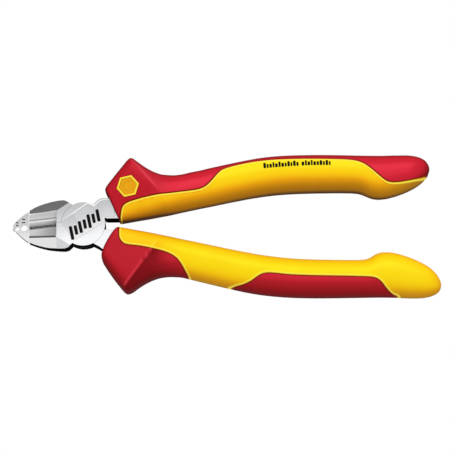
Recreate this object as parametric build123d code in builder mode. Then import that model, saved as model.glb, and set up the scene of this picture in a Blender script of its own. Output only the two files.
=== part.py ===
from build123d import *
import math
import os

# Diagonal cutting pliers for electricians, about 171 mm long.
# The tool lies flat: +X runs from the nose towards the handle ends, +Y is the side of
# the handle that carries the badge, +Z is up. Origin at the bottom centre.
# All plan coordinates below are in mm; heights are measured from the mid plane of the
# lap joint and moved up by Z_MID.

# ---- driving dimensions -------------------------------------------------------------
Z_MID = 8.9            # mid plane of the tool above the surface it rests on
FACE = 5.0             # half thickness of the ground head
BAND = 5.5             # half thickness on the raised diagonal band
NOSE = 1.7             # half thickness of the flat stripping nose
PIVOT = (-57.2, 0.3)
R_DISC = 8.75          # lap disc
R_POCKET = 8.84        # pocket round the other half's disc
LAP_GAP = 0.04         # each half stands this far off the mid plane
EDGE_GAP = 0.04        # each cutting edge stands this far off the split line
SPLIT_A = (-86.2, -1.32)
SPLIT_B = (-60.0, 1.67)
HOLE_S = (-83.7, -1.03, 1.0)    # stripping hole for 1.5 mm2 wire: x, y, radius
HOLE_L = (-81.0, -0.66, 1.4)    # stripping hole for 2.5 mm2 wire
X_STEP = -78.8         # where the flat nose ends and the cutting edges begin
X_WALL = -67.8         # where the cutting edges end at the head face
BEV_W, BEV_Z = 1.5, 2.6         # narrow cutting bevel: width, height
RIVET_R = 3.2
RIVET_RUN = 0.05       # running clearance in the rear half
HEAD_R = 4.3           # flush riveted head at the back
HALF_FLAT = 8.9        # flats the tool rests on
TANG_Z = 3.2           # half thickness of the tangs inside the handles
SLEEVE_T = 1.7         # wall of the insulating core
SLEEVE_Z = 5.2         # half thickness of the insulating core
SHANK_X = -38.0        # end of the full-thickness shank inside the handle


def zp(h):
    return Plane.XY.offset(Z_MID + h)


def split_y(x, off=0.0):
    t = (x - SPLIT_A[0]) / (SPLIT_B[0] - SPLIT_A[0])
    return SPLIT_A[1] + t * (SPLIT_B[1] - SPLIT_A[1]) + off


# ---- plan outlines ------------------------------------------------------------------
UPPER_JAW = [(-85.42, -0.3), (-84.95, 0.84), (-83.9, 2.06), (-82.7, 3.1), (-80.7, 4.72),
             (-78.8, 5.85), (-76.7, 7.11), (-74.7, 8.0), (-72.7, 8.65), (-70.7, 9.22),
             (-68.7, 9.63), (-66.7, 9.92), (-64.9, 10.0), (-63.6, 9.4), (-61.42, 7.95)]
LOWER_JAW = [(-85.42, -0.3), (-85.0, -1.4), (-83.9, -2.62), (-82.7, -3.84), (-80.7, -5.47),
             (-78.8, -6.85), (-76.7, -7.66), (-74.7, -8.29), (-72.7, -8.8), (-70.7, -9.2),
             (-66.7, -9.5), (-64.4, -9.5), (-63.0, -9.0), (-61.42, -7.4)]

UPPER_SHANK = [(-53.23, 8.1), (-51.9, 9.6), (-50.7, 10.4), (-49.5, 10.75), (-47.5, 10.7),
               (-44.0, 12.4), (SHANK_X, 14.2), (SHANK_X, 4.6), (-42.0, 2.6), (-47.6, 2.5)]
LOWER_SHANK = [(-53.17, -7.47), (-50.7, -8.75), (-49.5, -9.7), (-47.5, -10.7),
               (-44.0, -12.0), (SHANK_X, -13.6), (SHANK_X, -4.0), (-42.0, -1.9), (-47.6, -1.8)]

UPPER_TANG_C = [(-39.0, 9.3), (-30.0, 11.2), (-22.0, 12.5), (-12.0, 14.4), (0.0, 17.1),
                (14.0, 19.6), (30.0, 21.1), (46.0, 21.3), (60.0, 20.9)]
LOWER_TANG_C = [(-39.0, -8.7), (-30.0, -10.4), (-22.0, -11.9), (-12.0, -13.9), (0.0, -16.6),
                (14.0, -19.2), (30.0, -20.9), (46.0, -21.2), (60.0, -20.8)]
TANG_W = [4.4, 4.2, 4.0, 3.8, 3.6, 3.5, 3.4, 3.3, 3.2]


def ribbon(centre, half, grow=0.0, ends=0.0):
    """Closed polygon round a centre line with a half width per point."""
    left, right = [], []
    n = len(centre)
    for i, (x, y) in enumerate(centre):
        a = centre[max(i - 1, 0)]
        b = centre[min(i + 1, n - 1)]
        dx, dy = b[0] - a[0], b[1] - a[1]
        d = math.hypot(dx, dy)
        dx, dy = dx / d, dy / d
        w = half[i] + grow
        ex = ends if i == n - 1 else 0.0
        left.append((x - dy * w + dx * ex, y + dx * w + dy * ex))
        right.append((x + dy * w + dx * ex, y - dx * w + dy * ex))
    return left + right[::-1]


def slab(points, low, high):
    with BuildPart() as s:
        with BuildSketch(zp(low)):
            with BuildLine():
                Polyline(*points, close=True)
            make_face()
        extrude(amount=high - low)
    return s.part


def disc(radius, low, high, at=PIVOT):
    with BuildPart() as s:
        with BuildSketch(zp(low)):
            with Locations(at):
                Circle(radius)
        extrude(amount=high - low)
    return s.part


def half_space(point, normal, depth=16.0):
    """Block whose face passes through the point and that fills the side of the normal."""
    with BuildPart() as s:
        with BuildSketch(Plane(origin=(point[0], point[1], Z_MID + point[2]), z_dir=normal)):
            Rectangle(120, 120)
        extrude(amount=depth)
    return s.part


def both_faces(solid):
    """The solid and its mirror image in the mid plane of the tool."""
    return [solid, mirror(solid, about=zp(0))]


def valley(side):
    """Ground hollow over one cutting edge: steep bevel, then the wide facet."""
    def section(x, ridge, ridge_z):
        y0 = split_y(x)
        s = side
        return [(y0 - s * 0.6, 0.12), (y0 + s * EDGE_GAP, 0.12), (y0 + s * BEV_W, BEV_Z),
                (y0 + s * ridge, ridge_z), (y0 + s * ridge, 9.0), (y0 - s * 0.6, 9.0)]
    with BuildPart() as v:
        for x, ridge, rz in ((X_STEP, 4.6, 3.5), (X_WALL, 5.3, 4.75)):
            with BuildSketch(Plane(origin=(x, 0, Z_MID), x_dir=(0, 1, 0), z_dir=(1, 0, 0))):
                with BuildLine():
                    Polyline(*section(x, ridge, rz), close=True)
                make_face()
        loft(ruled=True)
    return v.part


def nose_cut():
    pts = [(-90, NOSE), (X_STEP - 0.35, NOSE), (X_STEP + 0.5, 5.5), (-90, 5.5)]
    with BuildPart() as n:
        with BuildSketch(Plane(origin=(0, 15, Z_MID), x_dir=(1, 0, 0), z_dir=(0, -1, 0))):
            with BuildLine():
                Polyline(*pts, close=True)
            make_face()
        extrude(amount=30)
    return n.part


def jaw(outline, side):
    """Full-thickness jaw on one side of the split line, with its ground facets."""
    pts = [(outline[0][0], split_y(outline[0][0], side * EDGE_GAP))]
    pts += [p for p in outline if side * (p[1] - split_y(p[0])) > 0.3]
    pts += [(PIVOT[0], pts[-1][1] * 0.6), (PIVOT[0], split_y(PIVOT[0], side * EDGE_GAP))]
    with BuildPart() as j:
        add(slab(pts, -FACE, FACE))
        # flat nose, with a sloping end to the thick part behind it
        for c in both_faces(nose_cut()):
            add(c, mode=Mode.SUBTRACT)
        for c in both_faces(valley(side)):
            add(c, mode=Mode.SUBTRACT)
        # outer facet
        if side > 0:
            f = half_space((-67.7, 5.94, 4.95), (-0.66, 1.0, 3.9))
        else:
            f = half_space((-67.5, -5.2, 4.95), (-0.62, -1.0, 3.9))
        for c in both_faces(f):
            add(c, mode=Mode.SUBTRACT)
        for x, y, r in (HOLE_S, HOLE_L):
            add(disc(r, -9, 9, (x, y)), mode=Mode.SUBTRACT)
    return j.part


def band_pad(side):
    """Raised diagonal band across the joint: front of the front half, back of the rear."""
    strip = [(-64.5, 2.6), (-40.0, 20.0), (-40.0, 6.3), (-60.5, -6.65), (-66.0, -3.4),
             (-66.0, 1.5)]
    shank = [(-53.0, 7.6), (-51.8, 9.0), (-50.6, 9.9), (-49.4, 10.3), (-47.4, 10.3),
             (-44.5, 11.6), (-44.5, 3.0), (-47.4, 2.9), PIVOT]
    patch = [(-66.0, 0.6), (-66.0, -4.0), (-60.5, -6.65), PIVOT]
    if side < 0:
        strip = [(x, 2 * PIVOT[1] - y) for x, y in strip]
        shank = [(-52.9, -7.0), (-50.5, -8.3), (-49.3, -9.3), (-47.3, -10.2), (-44.5, -11.2),
                 (-44.5, -2.4), (-47.3, -2.2), PIVOT]
        patch = [(-65.2, 4.6), (-65.2, 1.6), (-60.5, 2.4), (-60.5, 7.2)]
    low = FACE - 0.02
    with BuildPart() as b:
        with BuildSketch(zp(low)):
            with Locations(PIVOT):
                Circle(R_DISC - 0.06)
            for pts in (shank, patch):
                with BuildLine():
                    Polyline(*pts, close=True)
                make_face()
            with BuildLine():
                Polyline(*strip, close=True)
            make_face(mode=Mode.INTERSECT)
        extrude(amount=BAND - FACE + 0.02, taper=42)
        # the band runs out level with the face towards the jaw
        s = 1 if side > 0 else -1
        add(half_space((PIVOT[0] - 0.82, PIVOT[1] - s * 0.57, BAND), (-0.82, -s * 0.57, 12.0), 3),
            mode=Mode.SUBTRACT)
    if side < 0:
        return mirror(b.part, about=zp(0))
    return b.part


# ---- steel halves -------------------------------------------------------------------
def steel_half(side):
    """side=+1: lower jaw, disc in the upper layer, upper handle shank.
    side=-1: upper jaw, disc in the lower layer, lower handle shank."""
    lo, hi = (LAP_GAP, FACE) if side > 0 else (-FACE, -LAP_GAP)
    jaw_pts, jaw_side = (LOWER_JAW, -1) if side > 0 else (UPPER_JAW, 1)
    shank = UPPER_SHANK if side > 0 else LOWER_SHANK
    centre = UPPER_TANG_C if side > 0 else LOWER_TANG_C
    inner = (PIVOT[0] + 3.0, PIVOT[1] + side * 4.0)
    with BuildPart() as h:
        add(jaw(jaw_pts, jaw_side))
        add(slab(shank + [inner], -FACE, FACE))
        # round pocket for the other half's disc
        if side > 0:
            add(disc(R_POCKET, -9, LAP_GAP), mode=Mode.SUBTRACT)
        else:
            add(disc(R_POCKET, -LAP_GAP, 9), mode=Mode.SUBTRACT)
        add(disc(R_DISC, lo, hi))
        add(band_pad(side))
        add(slab(ribbon(centre, TANG_W), -TANG_Z, TANG_Z))
        if side > 0:
            add(disc(RIVET_R, -1, 4.0), mode=Mode.SUBTRACT)
        else:
            add(disc(RIVET_R + RIVET_RUN, -9, 1), mode=Mode.SUBTRACT)
            add(rivet_cone(HEAD_R + RIVET_RUN, RIVET_R + RIVET_RUN), mode=Mode.SUBTRACT)
    return h


def rivet_cone(r_out, r_in):
    with BuildPart() as c:
        with BuildSketch(zp(-BAND)):
            with Locations(PIVOT):
                Circle(r_out)
        with BuildSketch(zp(-4.4)):
            with Locations(PIVOT):
                Circle(r_in)
        loft()
    return c.part


# ---- handle covers ------------------------------------------------------------------
# stations along X: outer edge, inner edge (distances from the X axis), half thickness
UPPER_ST = [(-38.2, 27.0, 2.2, 8.95), (-34.9, 25.2, 2.75, 8.95), (-32.1, 23.3, 3.2, 8.95),
            (-28.8, 21.7, 3.8, 8.8), (-25.6, 20.8, 4.4, 8.4), (-21.9, 20.6, 5.05, 8.0),
            (-18.7, 20.9, 5.7, 7.8), (-14.7, 21.8, 6.5, 7.8), (-6.7, 23.6, 8.2, 8.0),
            (1.3, 25.4, 9.9, 8.4), (9.3, 27.0, 11.5, 8.75), (17.3, 28.1, 12.7, 8.95),
            (25.3, 28.75, 13.4, 9.0), (37.3, 28.95, 13.8, 9.0), (47.0, 28.85, 13.9, 8.9),
            (52.5, 28.7, 13.6, 8.7), (57.4, 28.65, 11.9, 8.5), (61.0, 28.65, 11.25, 8.3),
            (66.0, 28.8, 12.0, 8.0), (71.5, 28.9, 13.9, 7.4), (75.2, 28.4, 15.8, 6.7),
            (78.2, 27.5, 17.9, 5.6), (80.2, 26.0, 20.0, 4.2), (81.2, 24.2, 21.6, 2.4)]
LOWER_ST = [(-39.6, 26.8, 1.2, 8.95), (-36.0, 25.3, 1.85, 8.95), (-32.1, 22.8, 2.5, 8.95),
            (-28.8, 21.3, 3.15, 8.8), (-26.0, 20.5, 3.7, 8.4), (-22.7, 20.25, 4.3, 8.0),
            (-18.7, 20.4, 5.0, 7.8), (-14.7, 21.25, 5.85, 7.8), (-6.7, 23.2, 7.55, 8.0),
            (1.3, 25.1, 9.25, 8.4), (9.3, 26.8, 10.85, 8.75), (17.3, 27.9, 12.1, 8.95),
            (25.3, 28.6, 13.0, 9.0), (37.3, 28.85, 13.6, 9.0), (47.0, 28.7, 13.75, 8.9),
            (53.0, 28.6, 13.7, 8.7), (57.4, 28.5, 12.6, 8.5), (61.4, 28.5, 10.8, 8.3),
            (65.6, 28.7, 10.7, 8.1), (70.9, 28.9, 12.0, 7.7), (76.4, 28.95, 14.2, 7.1),
            (80.0, 28.4, 16.2, 6.3), (82.8, 27.5, 18.6, 5.1), (84.4, 26.3, 20.9, 3.8),
            (85.45, 25.0, 22.6, 2.0)]
UPPER_FRONT = [(-38.2, 27.0), (-39.6, 26.5), (-41.4, 24.4), (-43.8, 21.4), (-46.6, 17.8),
               (-48.9, 14.9), (-47.9, 12.5), (-46.7, 10.3), (-45.5, 7.3), (-44.7, 5.2),
               (-43.9, 2.8), (-42.7, 1.5), (-38.2, 2.2)]
LOWER_FRONT = [(-39.6, -26.8), (-40.8, -26.2), (-42.6, -24.2), (-45.8, -20.0), (-48.6, -15.8),
               (-49.9, -14.3), (-50.1, -13.0), (-49.8, -11.5), (-49.1, -9.6), (-47.9, -7.0),
               (-46.7, -4.6), (-45.9, -2.9), (-45.2, -1.2), (-43.6, -0.5), (-39.6, -1.2)]
UPPER_FACET = ((-35.1, 22.9, 8.9), (-16.06, -14.08, 163.0))
LOWER_FACET = ((-34.5, -16.5, 8.9), (-19.36, 14.08, 155.1))

# boundary between the yellow body and the red shell of the upper handle
UPPER_SPLIT = [(-44.4, -4.0), (-42.4, 0.0), (-42.4, 3.3), (-41.6, 5.8), (-40.4, 7.8),
               (-38.7, 9.2), (-34.7, 10.4), (-30.7, 11.4), (-26.7, 12.2), (-22.7, 12.7),
               (-18.7, 13.2), (-14.7, 13.7), (-11.5, 14.3), (-9.1, 15.2), (-7.3, 16.6),
               (-5.5, 18.6), (-3.9, 20.5), (-2.3, 22.0), (-0.3, 23.0), (2.1, 23.8),
               (5.3, 24.6), (9.3, 25.4), (13.3, 26.1), (17.3, 26.6), (21.3, 26.9),
               (29.3, 27.1), (37.3, 27.1), (45.3, 26.9), (49.3, 26.6), (52.1, 26.0),
               (54.5, 25.0), (56.5, 23.6), (58.9, 21.6), (61.3, 19.4), (63.3, 17.8),
               (64.9, 17.1), (66.9, 16.9), (70.1, 17.2), (74.1, 17.9), (77.3, 18.5),
               (80.1, 19.1), (84.0, 19.4), (84.0, -4.0)]
LOWER_SPLIT_1 = [(-42.8, 4.0), (-42.8, -1.6), (-42.9, -3.8), (-42.7, -5.4), (-42.1, -6.7),
                 (-41.1, -7.7), (-39.7, -8.2), (-37.5, -8.5), (-34.7, -8.8), (-31.5, -9.4),
                 (-28.3, -10.1), (-25.9, -10.7), (-23.5, -11.4), (-21.5, -12.4),
                 (-19.9, -13.6), (-18.7, -15.0), (-17.5, -17.0), (-16.3, -19.4),
                 (-15.4, -21.2), (-14.0, -24.0), (-14.0, -32.0), (-55.0, -32.0), (-55.0, 4.0)]
LOWER_SPLIT_2 = [(-2.0, -26.6), (0.9, -25.6), (3.7, -25.1), (6.5, -24.3), (9.3, -23.0),
                 (11.3, -21.6), (12.9, -20.5), (14.5, -19.8), (16.5, -19.5), (19.3, -19.7),
                 (25.3, -20.2), (33.3, -20.6), (41.3, -20.7), (49.3, -20.9), (55.3, -21.0),
                 (58.1, -21.3), (59.7, -21.9), (61.3, -23.3), (62.9, -25.4), (64.5, -27.2),
                 (66.1, -28.5), (68.5, -30.0), (68.5, -34.0), (-2.0, -34.0)]
BADGE_AT = (-39.4, 15.0, 7.78)
BADGE_R = 4.6


def cover_blank(stations, front, facet, side):
    """Outer shape of one moulded handle cover, solid."""
    with BuildPart() as b:
        for x, outer, inner, h in stations:
            w = outer - inner
            r = min(w / 2, h) * 0.86
            with BuildSketch(Plane(origin=(x, side * (outer + inner) / 2, Z_MID),
                                   x_dir=(0, 1, 0), z_dir=(1, 0, 0))):
                RectangleRounded(w, 2 * h, r)
        loft(ruled=True)
        x0 = stations[0][0]
        with BuildSketch(zp(-8.95)):
            with BuildLine():
                Polyline(*(front + [(x0 + 2.5, front[-1][1] + side * 0.6),
                                    (x0 + 2.5, front[0][1] - side * 2.2)]), close=True)
            make_face()
        extrude(amount=17.9)
        for c in both_faces(half_space(*facet)):
            add(c, mode=Mode.SUBTRACT)
        for h in (-HALF_FLAT, HALF_FLAT):
            s = 1 if h > 0 else -1
            add(slab([(-60, -40), (90, -40), (90, 40), (-60, 40)], min(h, h + 3 * s),
                     max(h, h + 3 * s)), mode=Mode.SUBTRACT)
    return b.part


def core(centre, side):
    """Insulating core round the tang."""
    pts = [(SHANK_X + 0.02, centre[0][1])] + centre[1:]
    with BuildPart() as c:
        add(slab(ribbon(pts, TANG_W, SLEEVE_T, SLEEVE_T), -SLEEVE_Z, SLEEVE_Z))
        add(slab(ribbon(centre, TANG_W), -TANG_Z, TANG_Z), mode=Mode.SUBTRACT)
    return c


def hollow_blank(stations, front, facet, side, centre, steel):
    pts = [(SHANK_X + 0.02, centre[0][1])] + centre[1:]
    with BuildPart() as b:
        add(cover_blank(stations, front, facet, side))
        add(slab(ribbon(pts, TANG_W, SLEEVE_T, SLEEVE_T), -SLEEVE_Z, SLEEVE_Z),
            mode=Mode.SUBTRACT)
        add(steel.part, mode=Mode.SUBTRACT)
    return b.part


def badge_prism(low, high):
    n = UPPER_FACET[1]
    with BuildPart() as p:
        with BuildSketch(Plane(origin=(BADGE_AT[0], BADGE_AT[1], Z_MID + BADGE_AT[2]),
                               x_dir=(1, 0, 0.0985), z_dir=n).offset(low)):
            RegularPolygon(BADGE_R, 6, rotation=20)
        extrude(amount=high - low)
    return p.part


front_half = steel_half(1)
rear_half = steel_half(-1)

with BuildPart() as pivot_rivet:
    with BuildSketch(zp(-4.4)):
        with Locations(PIVOT):
            Circle(RIVET_R)
    extrude(amount=4.4 + 4.0)
    add(rivet_cone(HEAD_R, RIVET_R))

upper_core = core(UPPER_TANG_C, 1)
lower_core = core(LOWER_TANG_C, -1)
upper_blank = hollow_blank(UPPER_ST, UPPER_FRONT, UPPER_FACET, 1, UPPER_TANG_C, front_half)
lower_blank = hollow_blank(LOWER_ST, LOWER_FRONT, LOWER_FACET, -1, LOWER_TANG_C, rear_half)
upper_zone = slab(UPPER_SPLIT, -12, 12)
guard_zone = slab(LOWER_SPLIT_1, -12, 12)
back_zone = slab(LOWER_SPLIT_2, -12, 12)

with BuildPart() as upper_body:
    add(upper_blank)
    add(upper_zone, mode=Mode.INTERSECT)

with BuildPart() as upper_shell:
    add(upper_blank)
    add(upper_zone, mode=Mode.SUBTRACT)
    add(badge_prism(-0.8, 3.0), mode=Mode.SUBTRACT)

with BuildPart() as guard_badge:
    add(badge_prism(-0.8, 0.2))

with BuildPart() as lower_guard:
    add(lower_blank)
    add(guard_zone, mode=Mode.INTERSECT)

with BuildPart() as lower_back:
    add(lower_blank)
    add(back_zone, mode=Mode.INTERSECT)

with BuildPart() as lower_body:
    add(lower_blank)
    add(guard_zone, mode=Mode.SUBTRACT)
    add(back_zone, mode=Mode.SUBTRACT)

os.makedirs("parts", exist_ok=True)
for part_name, piece in (
        ("front_half", front_half), ("rear_half", rear_half), ("pivot_rivet", pivot_rivet),
        ("upper_core", upper_core), ("upper_body", upper_body), ("upper_shell", upper_shell),
        ("guard_badge", guard_badge), ("lower_core", lower_core), ("lower_body", lower_body),
        ("lower_guard", lower_guard), ("lower_back", lower_back)):
    piece.part.label = part_name
    box = piece.part.bounding_box()
    print(part_name, len(piece.part.solids()), round(piece.part.volume, 1),
          [round(v, 2) for v in (*box.min, *box.max)], flush=True)
    export_step(piece.part, "parts/%s.step" % part_name)
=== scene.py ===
import bpy
import bmesh
import math
import numpy as np
from mathutils import Vector, Matrix


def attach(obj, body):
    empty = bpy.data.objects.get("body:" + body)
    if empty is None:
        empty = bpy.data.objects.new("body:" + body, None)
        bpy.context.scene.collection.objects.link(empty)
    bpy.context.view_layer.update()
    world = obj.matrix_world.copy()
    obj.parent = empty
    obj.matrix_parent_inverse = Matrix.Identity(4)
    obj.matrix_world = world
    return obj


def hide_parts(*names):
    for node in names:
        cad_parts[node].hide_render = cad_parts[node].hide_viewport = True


# Diagonal cutting pliers. The CAD frame gives the steel parts; the moulded handle covers
# are built here as dense skins with real seam grooves between the colours.
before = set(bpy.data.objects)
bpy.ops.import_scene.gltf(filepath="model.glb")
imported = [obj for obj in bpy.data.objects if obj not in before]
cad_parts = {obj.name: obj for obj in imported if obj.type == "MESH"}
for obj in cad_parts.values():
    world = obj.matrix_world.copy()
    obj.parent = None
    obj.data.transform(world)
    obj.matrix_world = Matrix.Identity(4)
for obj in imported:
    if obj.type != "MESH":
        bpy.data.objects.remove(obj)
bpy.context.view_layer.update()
MM = 0.001
Z_MID = 8.9

# ---- plan outlines of the covers, mm from the frame's origin --------------------------
UPPER_OUTER = [(-48.87, 14.84), (-46.55, 17.92), (-43.75, 21.49), (-41.35, 24.49), (-39.54, 26.62), (-38.81, 27.16),
               (-38.29, 27.26), (-37.73, 27.16), (-36.67, 26.49), (-34.87, 25.18), (-32.06, 23.28), (-28.83, 21.67),
               (-25.56, 20.77), (-21.9, 20.62), (-18.66, 20.95), (-14.65, 21.85), (-10.65, 22.67), (-6.64, 23.64),
               (-2.65, 24.53), (1.35, 25.39), (5.35, 26.24), (9.35, 27.01), (13.34, 27.69), (17.33, 28.18),
               (21.32, 28.5), (25.31, 28.7), (29.3, 28.82), (37.3, 28.91), (45.3, 28.82), (53.3, 28.66),
               (61.3, 28.62), (67.31, 28.78), (71.69, 28.82), (74.86, 28.55), (77.22, 27.97), (79.2, 27),
               (80.51, 25.62), (81.19, 24.08), (81.37, 22.87)]
UPPER_INNER = [(-42.65, 1.4), (-38.77, 2.09), (-34.77, 2.78), (-30.77, 3.47), (-26.77, 4.2), (-22.75, 4.87),
               (-18.75, 5.69), (-14.75, 6.54), (-10.75, 7.39), (-6.75, 8.2), (-2.75, 9.06), (1.25, 9.91),
               (5.25, 10.72), (9.26, 11.5), (13.26, 12.15), (17.27, 12.72), (21.28, 13.13), (25.28, 13.42),
               (29.29, 13.62), (37.3, 13.82), (45.3, 13.91), (49.31, 13.86), (52.53, 13.61), (54.17, 13.18),
               (55.79, 12.51), (57.38, 11.83), (58.95, 11.37), (60.9, 11.18), (63.26, 11.38), (66.04, 11.97),
               (69.22, 12.97), (72.41, 14.25), (75.2, 15.69), (77.6, 17.27), (79.41, 18.97), (80.69, 20.74),
               (81.37, 22.88)]
LOWER_OUTER = [(-50.13, -12.45), (-49.69, -13.85), (-48.57, -15.84), (-45.76, -20), (-42.55, -24.17), (-40.74, -26.21),
               (-40.01, -26.79), (-39.35, -26.94), (-38.63, -26.83), (-37.67, -26.39), (-34.87, -24.44), (-32.05, -22.69),
               (-28.82, -21.26), (-25.97, -20.49), (-22.71, -20.21), (-18.67, -20.38), (-14.65, -21.25), (-10.64, -22.22),
               (-6.64, -23.2), (-2.64, -24.17), (1.35, -25.1), (5.35, -26), (9.35, -26.8), (13.34, -27.45),
               (17.33, -27.93), (21.32, -28.3), (25.31, -28.54), (29.31, -28.7), (37.3, -28.78), (45.3, -28.7),
               (53.3, -28.58), (61.3, -28.5), (67.71, -28.62), (70.91, -28.78), (74.1, -28.86), (77.28, -28.79),
               (80.05, -28.43), (82.41, -27.7), (84, -26.78), (85.01, -25.57), (85.44, -23.84)]
LOWER_INNER = [(-43.73, -0.43), (-41.97, -0.75), (-38.77, -1.32), (-34.77, -2.05), (-30.77, -2.78), (-26.78, -3.55),
               (-22.75, -4.22), (-18.75, -5.04), (-14.75, -5.85), (-10.75, -6.7), (-6.75, -7.55), (-2.75, -8.41),
               (1.25, -9.26), (5.25, -10.07), (9.25, -10.85), (13.26, -11.58), (17.27, -12.15), (21.27, -12.64),
               (25.28, -13.01), (29.29, -13.3), (37.29, -13.58), (45.3, -13.7), (51.3, -13.74), (54.12, -13.62),
               (55.77, -13.31), (57.4, -12.61), (59, -11.59), (60.57, -10.91), (62.12, -10.61), (64.48, -10.57),
               (67.25, -10.97), (70.03, -11.72), (73.22, -12.84), (76.41, -14.21), (79.2, -15.68), (81.2, -17.06),
               (82.81, -18.6), (84.23, -20.43), (85.11, -22.23), (85.44, -23.85)]
UPPER_SEAM = [(-42.35, -3), (-42.4, 1), (-42.3, 3.32), (-41.98, 5.65), (-41.5, 6.99), (-40.5, 8.05),
              (-38.7, 8.95), (-34.7, 10.12), (-30.7, 11.05), (-26.7, 11.74), (-22.7, 12.27), (-18.7, 12.84),
              (-14.7, 13.36), (-11.5, 13.89), (-9.1, 14.82), (-7.3, 16.19), (-5.5, 18.24), (-3.9, 20.21),
              (-2.3, 21.82), (-0.3, 22.77), (2.1, 23.53), (5.3, 24.29), (9.3, 25.09), (13.3, 25.65),
              (17.3, 26.02), (21.3, 26.23), (29.3, 26.44), (37.3, 26.42), (45.3, 26.25), (49.3, 25.98),
              (52.1, 25.45), (54.5, 24.49), (56.5, 23.14), (58.9, 21.08), (61.3, 18.99), (63.3, 17.41),
              (64.9, 16.81), (66.9, 16.65), (70.1, 17), (74.1, 17.84), (77.3, 18.71), (80.1, 19.93),
              (83.5, 20.9)]
LOWER_SEAM_GUARD = [(-42.7, 3), (-42.82, -1.22), (-42.9, -3.66), (-42.7, -5.34), (-42.06, -6.68), (-41.1, -7.7),
                    (-39.7, -8.31), (-37.5, -8.64), (-34.7, -9.03), (-31.5, -9.69), (-28.3, -10.4), (-25.9, -10.95),
                    (-23.5, -11.72), (-21.5, -12.7), (-19.9, -13.9), (-18.7, -15.28), (-17.5, -17.12), (-16.3, -19.29),
                    (-15.38, -20.75), (-14.6, -22.3), (-13.6, -25)]
LOWER_SEAM_BACK = [(-3, -26.3), (3.7, -24.95), (6.5, -24.42), (9.3, -23.29), (11.3, -21.99), (12.9, -20.9),
                   (14.5, -20.23), (16.5, -19.96), (19.3, -20.13), (25.3, -20.72), (33.3, -21.05), (41.3, -21.21),
                   (49.3, -21.36), (55.3, -21.5), (58.1, -21.77), (59.7, -22.35), (61.3, -23.65), (62.9, -25.62),
                   (64.5, -27.17), (66.1, -28.16), (67.7, -28.6), (69.6, -30)]

def pchip(px, py):
    """Monotone cubic through the points, as a function of x."""
    x = np.array(px, float)
    y = np.array(py, float)
    h = np.diff(x)
    d = np.diff(y) / h
    m = np.zeros(len(x))
    for i in range(1, len(x) - 1):
        if d[i - 1] * d[i] > 0:
            w1, w2 = 2 * h[i] + h[i - 1], h[i] + 2 * h[i - 1]
            m[i] = (w1 + w2) / (w1 / d[i - 1] + w2 / d[i])
    m[0], m[-1] = d[0], d[-1]

    def f(q):
        q = np.asarray(q, float)
        i = np.clip(np.searchsorted(x, q) - 1, 0, len(h) - 1)
        t = np.clip((q - x[i]) / h[i], 0.0, 1.0)
        a = (1 + 2 * t) * (1 - t) ** 2 * y[i] + t * (1 - t) ** 2 * h[i] * m[i]
        return a + t * t * (3 - 2 * t) * y[i + 1] + t * t * (t - 1) * h[i] * m[i + 1]
    return f


def sstep(v):
    v = np.clip(v, 0.0, 1.0)
    return v * v * (3 - 2 * v)


def smin(a, b, k):
    h = np.clip(0.5 + 0.5 * (b - a) / k, 0.0, 1.0)
    return b * (1 - h) + a * h - k * h * (1 - h)


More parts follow.
